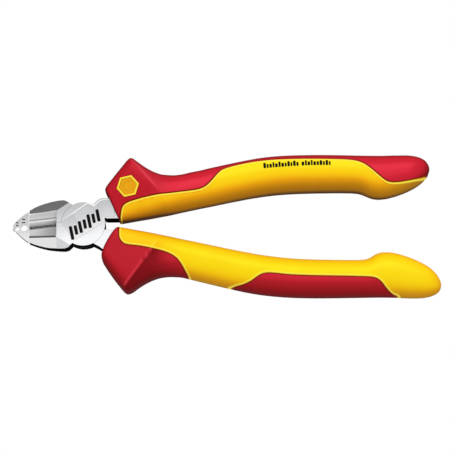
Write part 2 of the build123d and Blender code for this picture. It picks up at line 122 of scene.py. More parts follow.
class Grip:
    """Outer skin of one handle cover as a grid of superelliptic sections (mm)."""

    def __init__(self, outer, inner, front_bow, facet, ridge, back, body_h, side):
        self.o = pchip(*zip(*outer))
        self.i = pchip(*zip(*inner))
        self.xo0, self.xi0 = outer[0][0], inner[0][0]
        self.tip = outer[-1][0]
        self.bow, self.facet, self.ridge, self.back = front_bow, facet, ridge, back
        self.h = pchip(*zip(*body_h))
        self.side = side

    def crest(self, x, y):
        """Half thickness of the cover over a plan position."""
        (fx, fy, fz), (na, nb, nc) = self.facet
        f = fz - (na * (x - fx) + nb * (y - fy)) / nc
        rx, ry, ux, uy = self.ridge
        r = (x - rx) * ux + (y - ry) * uy
        r = np.maximum(r, x - self.back)
        hb = self.h(x)
        s = hb + (8.85 - hb) * np.exp(-np.clip(r, 0, None) / 4.5) + np.clip(-r, 0, 3) * 0.35
        return smin(np.minimum(f, 9.4), s, 0.22)

    def sections(self, nt, nu):
        w0, w1 = 0.0, self.tip - self.xi0
        t = np.linspace(0, 1, nt)
        # finer at the front, through the guard and at the round end
        dens = 1.0 + 2.2 * np.exp(-((t - 0.04) / 0.09) ** 2) + 5.0 * np.exp(-((t - 1.0) / 0.03) ** 2)
        c = np.concatenate([[0], np.cumsum((dens[1:] + dens[:-1]) / 2)])
        w = w0 + (w1 - w0) * np.interp(np.linspace(0, c[-1], nt), c, t)
        w[-1] = w1 - 0.004
        u = np.linspace(0, 2 * np.pi, nu, endpoint=False)
        cu, su = np.cos(u), np.sin(u)
        rows = []
        for k, q in enumerate(w):
            xi = self.xi0 + q
            xo = xi - (self.xi0 - self.xo0) * (1 - sstep(q / 15.0))
            pi = np.array([xi, float(self.i(xi))])
            po = np.array([xo, float(self.o(xo))])
            n = 2.45 + 2.3 * (1 - sstep((q - 2.0) / 24.0))
            half = np.sign(cu) * np.abs(cu) ** (2 / n)
            rise = np.sign(su) * np.abs(su) ** (2 / n)
            edge = 1.0
            inset = 1.0
            if q < 1.0:
                a = 1 - q / 1.0
                edge = 1 - 0.13 * (1 - math.sqrt(max(0.0, 1 - a * a)))
                inset = 1 - 0.07 * (1 - math.sqrt(max(0.0, 1 - a * a)))
            mid, arm = (pi + po) / 2, (po - pi) / 2
            bow = self.bow * (1 - sstep(q / 12.0))
            x = mid[0] + arm[0] * half * inset - bow * (1 - half ** 2)
            y = mid[1] + arm[1] * half * inset
            if q < 1.0:
                x = x + 0.35 * (1 - math.sqrt(max(0.0, 1 - (1 - q) ** 2))) * 0
            h = self.crest(x, y)
            end = max(0.0, (xi - (self.tip - 9.5)) / 9.5)
            round_end = max(0.0, 1 - end ** 2.3) ** (1 / 2.3)
            z = rise * h * edge * round_end
            rows.append(np.stack([x, y, z], 1))
        return np.array(rows)


# ---- geometry helpers -----------------------------------------------------------------
def grid_mesh(rows):
    """Closed triangle skin from rows of sections; both ends are capped."""
    nt, nu, _ = rows.shape
    verts = rows.reshape(-1, 3)
    tris = []
    idx = np.arange(nt * nu).reshape(nt, nu)
    a = idx[:-1, :]
    b = np.roll(idx, -1, axis=1)[:-1, :]
    c = np.roll(idx, -1, axis=1)[1:, :]
    d = idx[1:, :]
    t1 = np.stack([a, b, c], 2).reshape(-1, 3)
    t2 = np.stack([a, c, d], 2).reshape(-1, 3)
    tris = np.concatenate([t1, t2])
    caps = []
    extra = []
    for ring, flip in ((idx[0], True), (idx[-1], False)):
        # rings of the cap, shrinking to a point
        centre = verts[ring].mean(axis=0)
        last = ring
        base = len(verts) + sum(len(e) for e in extra)
        steps = (0.8, 0.55, 0.3, 0.12) if flip else ()
        for s in steps:
            new = centre + (verts[ring] - centre) * s
            start = len(verts) + sum(len(e) for e in extra)
            extra.append(new)
            cur = np.arange(start, start + nu)
            q1 = np.stack([last, cur, np.roll(cur, -1)], 1)
            q2 = np.stack([last, np.roll(cur, -1), np.roll(last, -1)], 1)
            caps += [q1[:, ::-1], q2[:, ::-1]] if not flip else [q1, q2]
            last = cur
        start = len(verts) + sum(len(e) for e in extra)
        extra.append(centre[None, :])
        q = np.stack([last, np.full(nu, start), np.roll(last, -1)], 1)
        caps.append(q if flip else q[:, ::-1])
    verts = np.concatenate([verts] + extra)
    tris = np.concatenate([tris] + caps)
    return verts, tris


def seam_distance(points, line):
    """Signed distance in plan from each point to a smooth open line; left side positive."""
    a, b = line[:-1], line[1:]
    ab = b - a
    best = np.full(len(points), 1e9)
    sign = np.ones(len(points))
    for k in range(len(a)):
        ap = points - a[k]
        t = np.clip((ap @ ab[k]) / (ab[k] @ ab[k]), 0, 1)
        q = ap - t[:, None] * ab[k]
        dist = np.hypot(q[:, 0], q[:, 1])
        cross = ab[k][0] * ap[:, 1] - ab[k][1] * ap[:, 0]
        upd = dist < best - 1e-9
        best = np.where(upd, dist, best)
        sign = np.where(upd, np.where(cross >= 0, 1.0, -1.0), sign)
    return best * sign


def smooth_line(points, step=0.5):
    """Catmull-Rom through the points, sampled evenly."""
    p = np.array(points, float)
    p = np.concatenate([[2 * p[0] - p[1]], p, [2 * p[-1] - p[-2]]])
    out = []
    for i in range(1, len(p) - 2):
        n = max(2, int(np.hypot(*(p[i + 1] - p[i])) / step))
        for k in range(n):
            t = k / n
            out.append(0.5 * ((2 * p[i]) + (-p[i - 1] + p[i + 1]) * t
                              + (2 * p[i - 1] - 5 * p[i] + 4 * p[i + 1] - p[i + 2]) * t * t
                              + (-p[i - 1] + 3 * p[i] - 3 * p[i + 1] + p[i + 2]) * t ** 3))
    out.append(p[-2])
    return np.array(out)


def cut_level(verts, tris, phis, k, level):
    """Splits the triangles where field k equals level; the other fields are interpolated."""
    s = phis[k] - level
    s = np.where(np.abs(s) < 1e-5, 1e-5, s)
    side = s > 0
    cross = side[tris].any(axis=1) & ~side[tris].all(axis=1)
    keep = tris[~cross]
    new, made = [], {}
    ends, ts = [], []
    base = len(verts)

    def mid(i, j):
        key = (i, j) if i < j else (j, i)
        if key not in made:
            made[key] = base + len(ends)
            ends.append(key)
            ts.append(s[key[0]] / (s[key[0]] - s[key[1]]))
        return made[key]

    for tri in tris[cross].tolist():
        i, j, m = tri
        if side[j] != side[i] and side[j] != side[m]:
            i, j, m = j, m, i
        elif side[m] != side[i] and side[m] != side[j]:
            i, j, m = m, i, j
        p, q = mid(i, j), mid(i, m)
        new += [(i, p, q), (p, j, m), (p, m, q)]
    e = np.array(ends, int).reshape(-1, 2)
    t = np.array(ts, float)
    verts = np.concatenate([verts, verts[e[:, 0]] + (verts[e[:, 1]] - verts[e[:, 0]]) * t[:, None]])
    out = []
    for n, f in enumerate(phis):
        g = f[e[:, 0]] + (f[e[:, 1]] - f[e[:, 0]]) * t
        if n == k:
            g[:] = level
        out.append(np.concatenate([f, g]))
    tris = np.concatenate([keep, np.array(new, int).reshape(-1, 3)])
    return verts, tris, out


def vertex_normals(verts, tris):
    n = np.zeros_like(verts)
    fn = np.cross(verts[tris[:, 1]] - verts[tris[:, 0]], verts[tris[:, 2]] - verts[tris[:, 0]])
    for k in range(3):
        np.add.at(n, tris[:, k], fn)
    return n / np.maximum(np.linalg.norm(n, axis=1), 1e-12)[:, None]


def mesh_object(name, verts, faces, mat, smooth=True):
    me = bpy.data.meshes.new(name)
    v = np.array(verts, float) * MM
    v[:, 2] += Z_MID * MM
    me.from_pydata([tuple(q) for q in v], [], [tuple(int(i) for i in q) for q in faces])
    me.validate()
    me.update()
    if smooth:
        me.polygons.foreach_set("use_smooth", [True] * len(me.polygons))
    ob = bpy.data.objects.new(name, me)
    bpy.context.scene.collection.objects.link(ob)
    ob.data.materials.append(mat)
    return ob


def smooth_angle(ob, degrees):
    """Marks edges sharper than the angle so smooth shading keeps them crisp."""
    bm = bmesh.new()
    bm.from_mesh(ob.data)
    for e in bm.edges:
        if len(e.link_faces) == 2 and e.calc_face_angle(0) > math.radians(degrees):
            e.smooth = False
    bm.to_mesh(ob.data)
    bm.free()


# seam profile: distance from the seam (yellow side positive), height over the skin
GROOVE = [(-0.8, 0.0), (-0.42, 0.02), (-0.22, -0.03), (-0.1, -0.22), (0.0, -0.4),
          (0.1, -0.2), (0.22, 0.0), (0.42, 0.1), (0.7, 0.1), (1.05, 0.0)]


def cover_pieces(grip, seams, names, mats, body, replaced, wall=1.3):
    """Cuts the skin along the seams, sinks a rounded groove there and gives each colour
    zone its own closed moulding with a real wall."""
    verts, tris = grid_mesh(grip.sections(400, 132))
    phis = []
    for line, yellow in seams:
        phis.append(seam_distance(verts[:, :2], line) * yellow)
    for k in range(len(seams)):
        for level, _ in GROOVE:
            verts, tris, phis = cut_level(verts, tris, phis, k, level)
    nrm = vertex_normals(verts, tris)
    if nrm[np.argmax(verts[:, 2]), 2] < 0:
        tris = tris[:, ::-1]
        nrm = -nrm
    lv = [g[0] for g in GROOVE]
    dv = [g[1] for g in GROOVE]
    lie = np.clip((np.abs(nrm[:, 2]) - 0.10) / 0.30, 0.0, 1.0)
    depth = np.zeros(len(verts))
    for phi in phis:
        depth += np.interp(phi, lv, dv)
    depth = depth * lie
    # how much each point sits on a seam's lip (+) or in its groove (-), as weights for a painted highlight on the lip
    # and painted shade in the groove
    seam = np.zeros(len(verts))
    for phi in phis:
        seam += np.interp(phi, [-0.55, -0.30, -0.12, 0.0, 0.10, 0.26, 0.62, 0.95],
                          [0.0, -0.75, -1.0, -1.0, -0.4, 1.0, 1.0, 0.0])
    (fx, fy, fz), (na, nb, nc) = grip.facet
    rx, ry, ux, uy = grip.ridge
    gap = (verts[:, 0] - rx) * ux + (verts[:, 1] - ry) * uy
    # painted highlight along the guard's ridge line; on the side behind the ridge, painted shade on the lower guard
    # and painted light on the upper guard
    crease = np.exp(-(gap / 0.55) ** 2) * np.clip((-27.0 - verts[:, 0]) / 3.0, 0, 1)
    crease *= np.clip((np.abs(nrm[:, 2]) - 0.5) / 0.3, 0, 1)
    ridge_side_shading = np.clip(gap / 0.7, 0, 1) * np.exp(-np.maximum(gap, 0) / (9.0 if grip.side < 0 else 6.0))
    ridge_side_shading *= np.clip((-22.0 - verts[:, 0]) / 6.0, 0, 1)
    crease += ridge_side_shading * (-0.75 if grip.side < 0 else 0.30)
    # the covers never stand higher than their flats
    moved = verts + nrm * depth[:, None]
    moved[:, 2] = np.clip(moved[:, 2], -8.9, 8.9)
    inner = verts - nrm * wall
    code = np.zeros(len(tris), int)
    for k, phi in enumerate(phis):
        code += (phi[tris].mean(axis=1) > 0).astype(int) << k
    out = []
    for name, codes, mat, nodes in zip(names[0], names[1], mats, replaced):
        t = tris[np.isin(code, codes)]
        used, flat = np.unique(t, return_inverse=True)
        t = flat.reshape(-1, 3)
        n = len(used)
        edges = np.concatenate([t[:, [0, 1]], t[:, [1, 2]], t[:, [2, 0]]])
        fwd = set(map(tuple, edges.tolist()))
        rim = [(i, j) for i, j in fwd if (j, i) not in fwd]
        faces = t.tolist() + [(c + n, b + n, a + n) for a, b, c in t.tolist()]
        faces += [(j, i, i + n, j + n) for i, j in rim]
        ob = mesh_object(name, np.concatenate([moved[used], inner[used]]), faces, mat)
        at = ob.data.attributes.new("seam", "FLOAT", "POINT")
        at.data.foreach_set("value", np.concatenate([seam[used], np.zeros(n)]).astype(np.float32))
        at = ob.data.attributes.new("crease", "FLOAT", "POINT")
        at.data.foreach_set("value", np.concatenate([crease[used], np.zeros(n)]).astype(np.float32))
        smooth_angle(ob, 50)
        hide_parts(*nodes)
        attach(ob, body)
        out.append(ob)
    return out


# ---- materials ------------------------------------------------------------------------
def new_mat(name):
    m = bpy.data.materials.new(name)
    m.use_nodes = True
    nt = m.node_tree
    bsdf = nt.nodes["Principled BSDF"]
    return m, nt, bsdf


def node(nt, kind, **inputs):
    n = nt.nodes.new(kind)
    for k, v in inputs.items():
        n.inputs[k.replace("_", " ")].default_value = v
    return n


def ramp(nt, source, stops):
    r = nt.nodes.new("ShaderNodeValToRGB")
    r.color_ramp.elements[0].position = stops[0][0]
    r.color_ramp.elements[0].color = stops[0][1]
    r.color_ramp.elements[1].position = stops[-1][0]
    r.color_ramp.elements[1].color = stops[-1][1]
    for p, c in stops[1:-1]:
        e = r.color_ramp.elements.new(p)
        e.color = c
    nt.links.new(source, r.inputs["Fac"])
    return r


def grey(v):
    return (v, v, v, 1.0)


def mixed(nt, fac, a, c, kind="MIX"):
    """One colour mix; each input is a socket or a constant."""
    mx = nt.nodes.new("ShaderNodeMix")
    mx.data_type = "RGBA"
    mx.blend_type = kind
    for sock, val in (("Factor", fac), ("A", a), ("B", c)):
        if hasattr(val, "is_output"):
            nt.links.new(val, mx.inputs[sock])
        else:
            mx.inputs[sock].default_value = val
    return mx.outputs["Result"]


def math_node(nt, op, a, c=0.0):
    n = nt.nodes.new("ShaderNodeMath")
    n.operation = op
    for k, val in enumerate((a, c)):
        if hasattr(val, "is_output"):
            nt.links.new(val, n.inputs[k])
        else:
            n.inputs[k].default_value = val
    return n.outputs["Value"]


def plastic(name, tones, highlight_colour, rough, bump=0.03, coat=0.06, top_light_lean=0.35, spec=0.0, ridge_shade_weight=0.0,
            front=(1.0, 1.0, 1.0)):
    """Moulded insulation. The colour is painted shade and light by the way the skin faces: deeper where it turns away
    to the sides, lighter where it turns towards +Y. The seam groove carries painted shade, the lip and the guard's
    ridge a painted highlight, and the gloss is uneven.
    tones: (position, colour) of the painted shading, from the turned-away sides to the faces that lie flat."""
    m, nt, b = new_mat(name)
    co = nt.nodes.new("ShaderNodeTexCoord")
    geo = nt.nodes.new("ShaderNodeNewGeometry")
    sep = nt.nodes.new("ShaderNodeSeparateXYZ")
    nt.links.new(geo.outputs["Normal"], sep.inputs["Vector"])
    # painted shade and light: the colour follows the way the skin faces, bright where it lies flat, deeper where it
    # turns away to the sides, lighter where it turns towards +Y
    up = math_node(nt, "ABSOLUTE", sep.outputs["Z"])
    tilt = math_node(nt, "ADD", up, math_node(nt, "MULTIPLY", sep.outputs["Y"], top_light_lean))
    n1 = node(nt, "ShaderNodeTexNoise", Scale=70.0, Detail=5.0, Roughness=0.6)
    nt.links.new(co.outputs["Object"], n1.inputs["Vector"])
    tilt = math_node(nt, "ADD", tilt, math_node(nt, "MULTIPLY", math_node(nt, "SUBTRACT", n1.outputs["Fac"], 0.5), 0.05))
    mr = nt.nodes.new("ShaderNodeMapRange")
    mr.inputs["From Min"].default_value = -0.60
    mr.inputs["From Max"].default_value = 1.15
    nt.links.new(tilt, mr.inputs["Value"])
    col = ramp(nt, mr.outputs["Result"], [((p + 0.60) / 1.75, (*c, 1)) for p, c in tones])
    # painted shade: the guard end is coloured a tone deeper than the handle, fading out between x = -30 and -18 mm
    place = nt.nodes.new("ShaderNodeSeparateXYZ")
    nt.links.new(co.outputs["Object"], place.inputs["Vector"])
    guard_shade_span = nt.nodes.new("ShaderNodeMapRange")
    guard_shade_span.inputs["From Min"].default_value = -0.030
    guard_shade_span.inputs["From Max"].default_value = -0.018
    nt.links.new(place.outputs["X"], guard_shade_span.inputs["Value"])
    tint = ramp(nt, guard_shade_span.outputs["Result"], [(0.0, (*front, 1)), (1.0, grey(1.0))])
    base = mixed(nt, 1.0, col.outputs["Color"], tint.outputs["Color"], "MULTIPLY")
    seam = nt.nodes.new("ShaderNodeAttribute")
    seam.attribute_name = "seam"
    # painted shade in the seam groove and a painted highlight on its lip
    groove_shade = math_node(nt, "MULTIPLY", seam.outputs["Fac"], -1.0)
    groove_shade = ramp(nt, groove_shade, [(0.0, grey(0.0)), (1.0, grey(0.7))])
    lip_highlight = ramp(nt, seam.outputs["Fac"], [(0.1, grey(0.0)), (1.0, grey(0.8))])
    crease = nt.nodes.new("ShaderNodeAttribute")
    crease.attribute_name = "crease"
    # painted highlight along the ridge, and painted shade behind the lower ridge
    ridge_highlight = ramp(nt, crease.outputs["Fac"], [(0.0, grey(0.0)), (1.0, grey(0.55))])
    ridge_shade = math_node(nt, "MULTIPLY", crease.outputs["Fac"], -ridge_shade_weight)
    ridge_shade = ramp(nt, ridge_shade, [(0.0, grey(0.0)), (1.0, grey(1.0))])
    # painted shade in the groove, then the painted highlight on the lip
    c1 = mixed(nt, groove_shade.outputs["Color"], base, (0.22, 0.010, 0.006, 1))
    c2 = mixed(nt, lip_highlight.outputs["Color"], c1, (*highlight_colour, 1))
    # painted ridge highlight and painted light behind the upper ridge, then painted shade behind the lower ridge
    c3 = mixed(nt, ridge_highlight.outputs["Color"], c2, (*highlight_colour, 1))
    c3 = mixed(nt, ridge_shade.outputs["Color"], c3, (*tones[1][1], 1))
    nt.links.new(c3, b.inputs["Base Color"])
    n2 = node(nt, "ShaderNodeTexNoise", Scale=420.0, Detail=4.0)
    nt.links.new(co.outputs["Object"], n2.inputs["Vector"])
    rr = nt.nodes.new("ShaderNodeMapRange")
    rr.inputs["To Min"].default_value = rough - 0.05
    rr.inputs["To Max"].default_value = rough + 0.07
    nt.links.new(n2.outputs["Fac"], rr.inputs["Value"])
    nt.links.new(rr.outputs["Result"], b.inputs["Roughness"])
    n3 = node(nt, "ShaderNodeTexNoise", Scale=2600.0, Detail=2.0)
    nt.links.new(co.outputs["Object"], n3.inputs["Vector"])
    bp = nt.nodes.new("ShaderNodeBump")
    bp.inputs["Strength"].default_value = bump
    bp.inputs["Distance"].default_value = 0.0002
    nt.links.new(n3.outputs["Fac"], bp.inputs["Height"])
    nt.links.new(bp.outputs["Normal"], b.inputs["Normal"])
    b.inputs["Coat Weight"].default_value = coat
    b.inputs["Coat Roughness"].default_value = 0.3
    b.inputs["Specular IOR Level"].default_value = spec
    return m


def steel(name, tone=0.74, rough=0.3):
    """Satin-ground tool steel with a fine grain and a random tone. The near-black flanks are painted shade, the grey
    of each facet is painted light and shade by the way it faces, the jaws carry painted bands of reflection and shade,
    and the small chamfers a painted highlight."""
    m, nt, b = new_mat(name)
    co = nt.nodes.new("ShaderNodeTexCoord")
    geo = nt.nodes.new("ShaderNodeNewGeometry")
    sep = nt.nodes.new("ShaderNodeSeparateXYZ")
    nt.links.new(geo.outputs["True Normal"], sep.inputs["Vector"])
    ab = nt.nodes.new("ShaderNodeMath")
    ab.operation = "ABSOLUTE"
    nt.links.new(sep.outputs["Z"], ab.inputs[0])
    # how far the face turns towards +Y: -1 .. 1 mapped to 0 .. 1
    yy = nt.nodes.new("ShaderNodeMapRange")
    yy.inputs["From Min"].default_value = -1.0
    yy.inputs["From Max"].default_value = 1.0
    nt.links.new(sep.outputs["Y"], yy.inputs["Value"])
    # painted light and shade: each facet's grey is set by the way it faces, bright towards -Y and dark towards +Y,
    # standing in for what it reflects
    facet = ramp(nt, yy.outputs["Result"], [(0.05, grey(1.0)), (0.30, grey(0.80)),
                                            (0.42, grey(0.72)), (0.485, grey(0.88)),
                                            (0.53, grey(0.84)), (0.60, grey(0.22)),
                                            (0.630, grey(0.17)), (0.660, grey(0.34)),
                                            (0.76, grey(0.30)), (0.86, grey(0.06)),
                                            (0.95, grey(0.04))])
    # painted highlight: near-white on the small chamfers, tilted about 37 to 49 degrees from flat
    chamfer_highlight = ramp(nt, ab.outputs["Value"], [(0.60, grey(0.0)), (0.66, grey(1.0)),
                                           (0.80, grey(1.0)), (0.86, grey(0.0))])
    # painted shade: the steep flanks go near-black, standing in for the shade they fall in
    flank = ramp(nt, ab.outputs["Value"], [(0.16, grey(0.0)), (0.30, grey(1.0))])
    mp = nt.nodes.new("ShaderNodeMapping")
    mp.inputs["Scale"].default_value = (120.0, 1900.0, 900.0)
    mp.inputs["Rotation"].default_value = (0.0, 0.0, math.radians(62))
    nt.links.new(co.outputs["Object"], mp.inputs["Vector"])
    br = node(nt, "ShaderNodeTexNoise", Scale=1.0, Detail=6.0, Roughness=0.65)
    nt.links.new(mp.outputs["Vector"], br.inputs["Vector"])
    cl = node(nt, "ShaderNodeTexNoise", Scale=170.0, Detail=4.0)
    nt.links.new(co.outputs["Object"], cl.inputs["Vector"])
    tint = ramp(nt, cl.outputs["Fac"], [(0.3, (0.93, 0.94, 0.965, 1)), (0.7, (0.985, 0.99, 1.0, 1))])

    # painted light: the ground faces run from grey at the shank to bright at the lower jaw
    pos = nt.nodes.new("ShaderNodeSeparateXYZ")
    nt.links.new(co.outputs["Object"], pos.inputs["Vector"])
    along = math_node(nt, "SUBTRACT", pos.outputs["Y"],
                      math_node(nt, "MULTIPLY", math_node(nt, "ADD", pos.outputs["X"], 0.060), 0.15))
    sweep = nt.nodes.new("ShaderNodeMapRange")
    sweep.inputs["From Min"].default_value = -0.006
    sweep.inputs["From Max"].default_value = 0.009
    sweep.inputs["To Min"].default_value = 1.0
    sweep.inputs["To Max"].default_value = 0.0
    nt.links.new(along, sweep.inputs["Value"])
    light_gradient = ramp(nt, sweep.outputs["Result"], [(0.0, grey(0.58)), (0.5, grey(0.78)), (1.0, grey(1.10))])
    c0 = mixed(nt, 1.0, facet.outputs["Color"], tint.outputs["Color"], "MULTIPLY")
    c0 = mixed(nt, 1.0, c0, light_gradient.outputs["Color"], "MULTIPLY")
    # painted reflections and shade over the ground hollows of the cutting edges: grey bands, a near-black band where
    # the edges meet and white strips on the bevels, counted by distance from the line where the edges meet
    across = math_node(nt, "SUBTRACT", pos.outputs["Y"],
                       math_node(nt, "ADD", math_node(nt, "MULTIPLY", pos.outputs["X"], 0.11412), 0.008517))
    q = nt.nodes.new("ShaderNodeMapRange")
    q.inputs["From Min"].default_value = -0.006
    q.inputs["From Max"].default_value = 0.006
    nt.links.new(across, q.inputs["Value"])
    edge_light_bands = ramp(nt, q.outputs["Result"],
                [(0.02, grey(0.36)), (0.30, grey(0.37)), (0.41, grey(0.42)), (0.435, grey(0.30)),
                 (0.45, grey(0.04)), (0.505, grey(0.04)), (0.52, grey(0.80)), (0.53, grey(0.97)),
                 (0.66, grey(1.0)), (0.685, grey(0.36)), (0.70, grey(0.36)), (0.73, grey(0.76)),
                 (0.86, grey(0.64)), (0.90, grey(0.85))])
    # painted bands of reflection and shade across the lower jaw, bright with a near-black line
    lowpos = nt.nodes.new("ShaderNodeMapRange")
    lowpos.inputs["From Min"].default_value = -0.010
    lowpos.inputs["From Max"].default_value = 0.0
    nt.links.new(pos.outputs["Y"], lowpos.inputs["Value"])
    lowcol = ramp(nt, lowpos.outputs["Result"], [(0.0, grey(0.92)), (0.44, grey(0.92)), (0.475, grey(0.96)),
                                                 (0.50, grey(0.09)), (0.55, grey(0.09)),
                                                 (0.575, grey(0.30))])
    lowfac = ramp(nt, lowpos.outputs["Result"], [(0.56, grey(1.0)), (0.585, grey(0.0))])
    below = mixed(nt, lowfac.outputs["Color"], edge_light_bands.outputs["Color"], lowcol.outputs["Color"])
    near = ramp(nt, q.outputs["Result"], [(0.0, grey(1.0)), (0.90, grey(1.0)), (0.915, grey(0.0))])
    span = nt.nodes.new("ShaderNodeMapRange")
    span.inputs["From Min"].default_value = -0.0790
    span.inputs["From Max"].default_value = -0.0670
    nt.links.new(pos.outputs["X"], span.inputs["Value"])
    inside = ramp(nt, span.outputs["Result"], [(0.0, grey(0.0)), (0.025, grey(1.0)),
                                               (0.92, grey(1.0)), (0.95, grey(0.0))])
    tipped = ramp(nt, ab.outputs["Value"], [(0.30, grey(0.0)), (0.36, grey(1.0)),
                                            (0.988, grey(1.0)), (0.994, grey(0.0))])
    edge_band_mask = math_node(nt, "MULTIPLY", math_node(nt, "MULTIPLY", near.outputs["Color"],
                                                 inside.outputs["Color"]), tipped.outputs["Color"])
    c0 = mixed(nt, edge_band_mask, c0, below)
    # painted highlight on the chamfers, left off the painted jaw bands
    lit = math_node(nt, "MULTIPLY", chamfer_highlight.outputs["Color"], math_node(nt, "SUBTRACT", 1.0, edge_band_mask))
    c1 = mixed(nt, lit, c0, (0.97, 0.975, 0.985, 1))
    # painted shade: near-black on the flanks
    c2 = mixed(nt, flank.outputs["Color"], (0.004, 0.004, 0.0045, 1), c1)
    hx = nt.nodes.new("ShaderNodeMapRange")
    hx.inputs["From Min"].default_value = -0.0850
    hx.inputs["From Max"].default_value = -0.0790
    nt.links.new(pos.outputs["X"], hx.inputs["Value"])
    hy = nt.nodes.new("ShaderNodeMapRange")
    hy.inputs["From Min"].default_value = -0.0030
    hy.inputs["From Max"].default_value = 0.0020
    nt.links.new(pos.outputs["Y"], hy.inputs["Value"])
    hx = ramp(nt, hx.outputs["Result"], [(0.02, grey(0.0)), (0.05, grey(1.0)), (0.92, grey(1.0)),
                                         (0.95, grey(0.0))])
    hy = ramp(nt, hy.outputs["Result"], [(0.10, grey(0.0)), (0.13, grey(1.0)), (0.84, grey(1.0)),
                                         (0.87, grey(0.0))])
    reamed = math_node(nt, "MULTIPLY", hx.outputs["Color"], hy.outputs["Color"])
    reamed = math_node(nt, "MULTIPLY", reamed, math_node(nt, "SUBTRACT", 1.0, flank.outputs["Color"]))
    c2 = mixed(nt, reamed, c2, (0.86, 0.865, 0.875, 1))
    # painted highlight along the corner where the flat nose steps down to the hollows
    corner = nt.nodes.new("ShaderNodeMapRange")
    corner.inputs["From Min"].default_value = -0.0800
    corner.inputs["From Max"].default_value = -0.0780
    nt.links.new(pos.outputs["X"], corner.inputs["Value"])
    corner = ramp(nt, corner.outputs["Result"], [(0.36, grey(0.0)), (0.42, grey(1.0)),
                                                 (0.62, grey(1.0)), (0.66, grey(0.0))])
    c2 = mixed(nt, corner.outputs["Color"], c2, (1.0, 1.0, 1.0, 1))
    c3 = mixed(nt, 1.0, c2, (tone / 0.74, tone / 0.74, tone / 0.74, 1), "MULTIPLY")
    nt.links.new(c3, b.inputs["Base Color"])
    # flats reflect like ground metal; the steep bevels and chamfers scatter more
    metal = ramp(nt, ab.outputs["Value"], [(0.20, grey(0.0)), (0.30, grey(0.15)),
                                           (0.58, grey(0.15)), (0.64, grey(0.0)),
                                           (0.80, grey(0.0)), (0.88, grey(0.75))])
    nt.links.new(metal.outputs["Color"], b.inputs["Metallic"])
    b.inputs["Specular IOR Level"].default_value = 0.0
    rr = nt.nodes.new("ShaderNodeMapRange")
    rr.inputs["To Min"].default_value = rough - 0.05
    rr.inputs["To Max"].default_value = rough + 0.09
    nt.links.new(br.outputs["Fac"], rr.inputs["Value"])
    nt.links.new(rr.outputs["Result"], b.inputs["Roughness"])
    bp = nt.nodes.new("ShaderNodeBump")
    bp.inputs["Strength"].default_value = 0.05
    bp.inputs["Distance"].default_value = 0.0001
    nt.links.new(br.outputs["Fac"], bp.inputs["Height"])
    nt.links.new(bp.outputs["Normal"], b.inputs["Normal"])
    return m


M_STEEL = steel("ground_steel")
M_RIVET = steel("rivet_steel", tone=0.62, rough=0.36)
# the tone ramps here are painted shade and light by the way the skin faces; the two yellows and the two reds are each
# one colour shaded for the light on each handle, and front= paints shade over the guard end
M_YELLOW_U = plastic("yellow_insulation_upper",
                     [(-0.56, (0.03, 0.008, 0.0)), (-0.40, (0.22, 0.10, 0.005)),
                      (-0.20, (0.42, 0.19, 0.008)), (0.03, (0.50, 0.215, 0.008)),
                      (0.40, (0.63, 0.28, 0.007)), (0.71, (0.85, 0.365, 0.004)),
                      (0.90, (0.97, 0.53, 0.006)), (1.01, (0.98, 0.67, 0.006)),
                      (1.08, (0.98, 0.78, 0.012))], (1.0, 0.86, 0.09), 0.45, top_light_lean=0.55)
M_YELLOW_L = plastic("yellow_insulation_lower",
                     [(-0.30, (0.20, 0.08, 0.003)), (-0.15, (0.50, 0.24, 0.006)),
                      (0.28, (0.72, 0.32, 0.006)), (0.53, (0.84, 0.42, 0.006)),
                      (0.72, (0.97, 0.54, 0.005)), (0.89, (0.98, 0.65, 0.005)),
                      (1.0, (0.98, 0.71, 0.006)), (1.035, (0.98, 0.82, 0.012))],
                     (1.0, 0.86, 0.09), 0.45, top_light_lean=0.22, front=(1.0, 0.80, 0.8))
M_BADGE = plastic("badge_insulation",
                  [(0.2, (0.5, 0.2, 0.004)), (0.80, (0.85, 0.42, 0.008)), (0.90, (1.0, 0.80, 0.06)),
                   (0.95, (1.0, 0.80, 0.06)), (0.98, (0.90, 0.39, 0.006))], (1.0, 0.82, 0.12),
                  0.42, top_light_lean=0.0)
M_BADGE_RIM = plastic("badge_rim", [(0.3, (0.85, 0.45, 0.01)), (0.9, (1.0, 0.78, 0.05))],
                      (1.0, 0.82, 0.12), 0.42, top_light_lean=0.0)
M_BADGE_LINE = plastic("badge_line", [(0.3, (0.30, 0.11, 0.004)), (0.9, (0.55, 0.21, 0.005))],
                       (0.6, 0.25, 0.01), 0.5, top_light_lean=0.0)
M_RED_U = plastic("red_insulation_upper",
                  [(-0.20, (0.05, 0.001, 0.003)), (0.10, (0.08, 0.001, 0.003)),
                   (0.40, (0.18, 0.003, 0.006)), (0.66, (0.36, 0.008, 0.014)),
                   (0.83, (0.56, 0.014, 0.028)), (0.975, (0.64, 0.017, 0.036)),
                   (1.015, (0.82, 0.032, 0.062))],
                  (0.86, 0.070, 0.110), 0.42, top_light_lean=0.16, ridge_shade_weight=1.0, front=(0.78, 0.66, 0.62))
M_RED_L = plastic("red_insulation_lower",
                  [(-0.40, (0.05, 0.001, 0.003)), (-0.25, (0.14, 0.003, 0.006)),
                   (0.0, (0.22, 0.006, 0.009)), (0.35, (0.32, 0.008, 0.011)),
                   (0.61, (0.39, 0.011, 0.017)), (0.875, (0.46, 0.013, 0.022)),
                   (1.0, (0.66, 0.019, 0.038)), (1.04, (0.76, 0.028, 0.055))],
                  (0.84, 0.055, 0.095), 0.42, top_light_lean=0.30, ridge_shade_weight=1.0, front=(0.74, 0.70, 0.64))
M_CORE = plastic("core_insulation", [(0.0, (0.5, 0.25, 0.01)), (0.9, (0.80, 0.42, 0.01))],
                 (0.9, 0.6, 0.05), 0.5)
